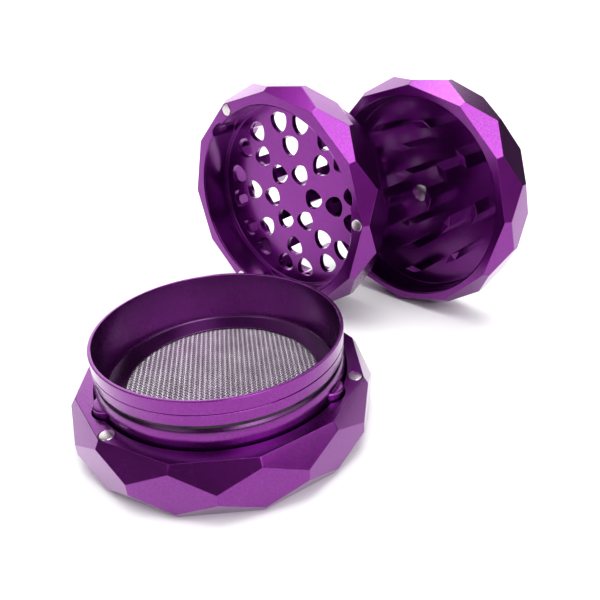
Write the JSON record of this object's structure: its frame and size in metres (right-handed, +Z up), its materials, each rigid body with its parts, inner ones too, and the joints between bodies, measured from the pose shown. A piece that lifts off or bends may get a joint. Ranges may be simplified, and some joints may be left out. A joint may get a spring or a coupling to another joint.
{
  "type": "herb grinder",
  "caption": "Faceted anodised herb grinder shown open: base tray with a screened sieve cup, magnetic grinding ring with perforated plate, and toothed lid.",
  "frame": {"origin": "centre of the base tray's underside", "axes": "+Z up out of the base tray; +X runs from the standing ring and lid towards the base tray"},
  "size_m": [0.1152, 0.0912, 0.063],
  "materials": {
    "anodised_purple": "bead-blasted purple anodised, satin",
    "anodised_purple_turned": "fine-turned purple anodised, satin",
    "magnet_nickel": "nickel-plated magnet, polished",
    "screen_steel": "woven stainless wire",
    "glide_polymer": "dark low-friction polymer"
  },
  "bodies": {
    "base": {"base_tray": "anodised_purple", "base_magnet_1": "magnet_nickel", "base_magnet_2": "magnet_nickel", "base_magnet_3": "magnet_nickel"},
    "sieve": {"sieve_cup": "anodised_purple_turned", "sieve_screen": "screen_steel", "screen_clamp_ring": "anodised_purple_turned"},
    "ring": {"grinding_ring": "anodised_purple", "ring_magnet_1": "magnet_nickel", "ring_magnet_2": "magnet_nickel", "ring_magnet_3": "magnet_nickel", "ring_centre_magnet": "magnet_nickel", "glide_ring": "glide_polymer"},
    "lid_core": {"lid_magnet": "magnet_nickel"},
    "lid": {"lid": "anodised_purple"}
  },
  "joints": [
    {"name": "sieve_lift", "type": "slide", "parent": "base", "child": "sieve", "axis": [0, 0, 1], "range_m": [-0.001, 0.03]},
    {"name": "ring_lift", "type": "slide", "parent": "base", "child": "ring", "axis": [0, 0, 1], "range_m": [0, 0.04]},
    {"name": "lid_lift", "type": "slide", "parent": "base", "child": "lid_core", "axis": [0, 0, 1], "range_m": [0, 0.04]},
    {"name": "lid_turn", "type": "hinge", "parent": "lid_core", "child": "lid", "pos_m": [-0.0696, 0.0012, 0.0315], "axis": [0.9972, -0.075, 0], "continuous": true}
  ]
}
